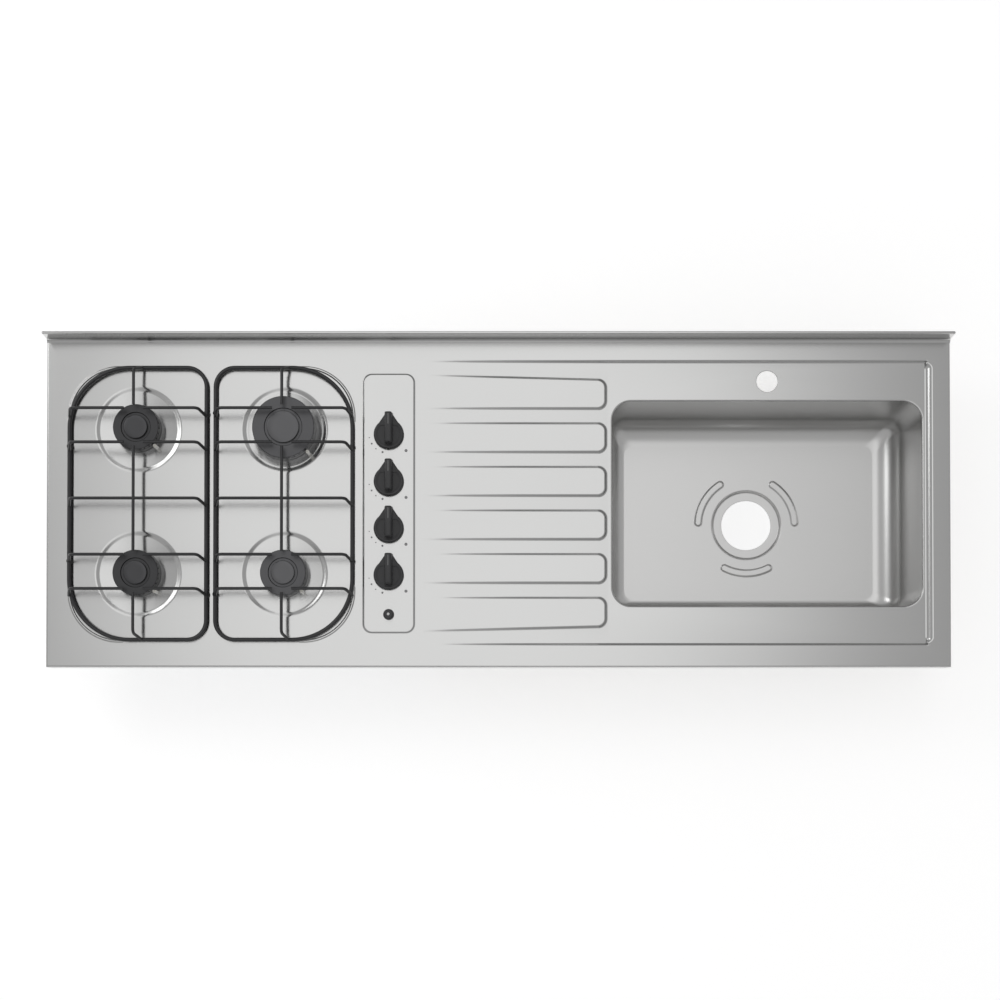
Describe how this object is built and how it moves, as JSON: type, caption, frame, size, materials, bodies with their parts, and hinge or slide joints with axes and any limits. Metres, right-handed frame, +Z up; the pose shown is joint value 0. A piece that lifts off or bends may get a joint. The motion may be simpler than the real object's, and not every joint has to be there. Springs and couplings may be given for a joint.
{
  "type": "kitchen worktop with gas hob and sink",
  "caption": "Pressed stainless kitchen worktop with upstand, gas hob under wire grates, knob panel, ribbed drainer and a single sink.",
  "frame": {"origin": "centre of the plane that seats on the cabinet, on the under-drainer batten's lower face", "axes": "+X right along the front edge, +Y to the back upstand, +Z up"},
  "size_m": [1.5, 0.55, 0.234],
  "materials": {
    "worktop_steel": "stainless sheet brushed lengthwise",
    "bowl_steel": "pressed stainless, satin",
    "batten_timber": "plain sawn softwood",
    "tray_steel": "galvanised sheet, dull",
    "screw_zinc": "zinc plated",
    "cup_alloy": "die-cast alloy, matt",
    "crown_alloy": "dark die-cast alloy, matt",
    "cap_enamel": "black vitreous enamel, satin",
    "injector_brass": "turned brass",
    "electrode_ceramic": "white glazed ceramic",
    "grate_enamel": "black enamel on round wire",
    "foot_rubber": "black rubber",
    "manifold_steel": "zinc-plated tube",
    "inlet_brass": "turned brass",
    "valve_alloy": "pressed alloy body",
    "plug_brass": "ground brass taper",
    "spindle_steel": "turned steel",
    "pipe_alloy": "soft alloy tube",
    "knob_plastic": "black heat-proof plastic, satin",
    "collar_plastic": "black plastic",
    "button_plastic": "black plastic with a pale dot",
    "module_plastic": "moulded case",
    "lead_silicone": "silicone insulation"
  },
  "bodies": {
    "worktop": {"apron": "worktop_steel", "back_upstand": "worktop_steel", "burner_crown_1": "crown_alloy", "burner_crown_2": "crown_alloy", "burner_crown_3": "crown_alloy", "burner_crown_4": "crown_alloy", "burner_cup_1": "cup_alloy", "burner_cup_2": "cup_alloy", "burner_cup_3": "cup_alloy", "burner_cup_4": "cup_alloy", "centre_rail": "batten_timber", "drain_dish": "bowl_steel", "electrodes": "electrode_ceramic", "feed_pipe_1": "pipe_alloy", "feed_pipe_2": "pipe_alloy", "feed_pipe_3": "pipe_alloy", "feed_pipe_4": "pipe_alloy", "front_rail": "batten_timber", "gas_inlet": "inlet_brass", "gas_manifold": "manifold_steel", "hob_rail": "batten_timber", "hob_tray": "tray_steel", "igniter_collar": "collar_plastic", "ignition_leads": "lead_silicone", "injectors": "injector_brass", "left_rail": "batten_timber", "rear_rail": "batten_timber", "right_rail": "batten_timber", "sink_bowl": "bowl_steel", "spark_module": "module_plastic", "tray_screws": "screw_zinc", "valve_body_1": "valve_alloy", "valve_body_2": "valve_alloy", "valve_body_3": "valve_alloy", "valve_body_4": "valve_alloy", "worktop_sheet": "worktop_steel"},
    "valve_plug_1": {"valve_plug_1": "plug_brass"},
    "knob_1": {"knob_1": "knob_plastic", "spindle_1": "spindle_steel"},
    "burner_cap_1": {"burner_cap_1": "cap_enamel"},
    "valve_plug_2": {"valve_plug_2": "plug_brass"},
    "knob_2": {"knob_2": "knob_plastic", "spindle_2": "spindle_steel"},
    "burner_cap_2": {"burner_cap_2": "cap_enamel"},
    "valve_plug_3": {"valve_plug_3": "plug_brass"},
    "knob_3": {"knob_3": "knob_plastic", "spindle_3": "spindle_steel"},
    "burner_cap_3": {"burner_cap_3": "cap_enamel"},
    "valve_plug_4": {"valve_plug_4": "plug_brass"},
    "knob_4": {"knob_4": "knob_plastic", "spindle_4": "spindle_steel"},
    "burner_cap_4": {"burner_cap_4": "cap_enamel"},
    "igniter_button": {"igniter_button": "button_plastic"},
    "left_grate": {"left_grate_frame": "grate_enamel", "left_grate_bars": "grate_enamel", "left_grate_feet": "foot_rubber"},
    "right_grate": {"right_grate_frame": "grate_enamel", "right_grate_bars": "grate_enamel", "right_grate_feet": "foot_rubber"}
  },
  "joints": [
    {"name": "valve_turn_1", "type": "hinge", "parent": "worktop", "child": "valve_plug_1", "pos_m": [-0.182, 0.1107, 0.042], "axis": [0, 0, 1], "range_deg": [0, 210]},
    {"name": "knob_push_1", "type": "slide", "parent": "valve_plug_1", "child": "knob_1", "axis": [0, 0, -1], "range_m": [0, 0.004], "stiffness_N_per_m": 800, "springref_m": -0.002},
    {"name": "cap_lift_1", "type": "slide", "parent": "worktop", "child": "burner_cap_1", "axis": [0, 0, 1], "range_m": [0, 0.05]},
    {"name": "valve_turn_2", "type": "hinge", "parent": "worktop", "child": "valve_plug_2", "pos_m": [-0.182, 0.0329, 0.042], "axis": [0, 0, 1], "range_deg": [0, 210]},
    {"name": "knob_push_2", "type": "slide", "parent": "valve_plug_2", "child": "knob_2", "axis": [0, 0, -1], "range_m": [0, 0.004], "stiffness_N_per_m": 800, "springref_m": -0.002},
    {"name": "cap_lift_2", "type": "slide", "parent": "worktop", "child": "burner_cap_2", "axis": [0, 0, 1], "range_m": [0, 0.05]},
    {"name": "valve_turn_3", "type": "hinge", "parent": "worktop", "child": "valve_plug_3", "pos_m": [-0.182, -0.0449, 0.042], "axis": [0, 0, 1], "range_deg": [0, 210]},
    {"name": "knob_push_3", "type": "slide", "parent": "valve_plug_3", "child": "knob_3", "axis": [0, 0, -1], "range_m": [0, 0.004], "stiffness_N_per_m": 800, "springref_m": -0.002},
    {"name": "cap_lift_3", "type": "slide", "parent": "worktop", "child": "burner_cap_3", "axis": [0, 0, 1], "range_m": [0, 0.05]},
    {"name": "valve_turn_4", "type": "hinge", "parent": "worktop", "child": "valve_plug_4", "pos_m": [-0.182, -0.1227, 0.042], "axis": [0, 0, 1], "range_deg": [0, 210]},
    {"name": "knob_push_4", "type": "slide", "parent": "valve_plug_4", "child": "knob_4", "axis": [0, 0, -1], "range_m": [0, 0.004], "stiffness_N_per_m": 800, "springref_m": -0.002},
    {"name": "cap_lift_4", "type": "slide", "parent": "worktop", "child": "burner_cap_4", "axis": [0, 0, 1], "range_m": [0, 0.05]},
    {"name": "igniter_press", "type": "slide", "parent": "worktop", "child": "igniter_button", "axis": [0, 0, -1], "range_m": [0, 0.004], "stiffness_N_per_m": 600, "springref_m": -0.002},
    {"name": "left_grate_lift", "type": "slide", "parent": "worktop", "child": "left_grate", "axis": [0, 0, 1], "range_m": [0, 0.12]},
    {"name": "right_grate_lift", "type": "slide", "parent": "worktop", "child": "right_grate", "axis": [0, 0, 1], "range_m": [0, 0.12]}
  ]
}
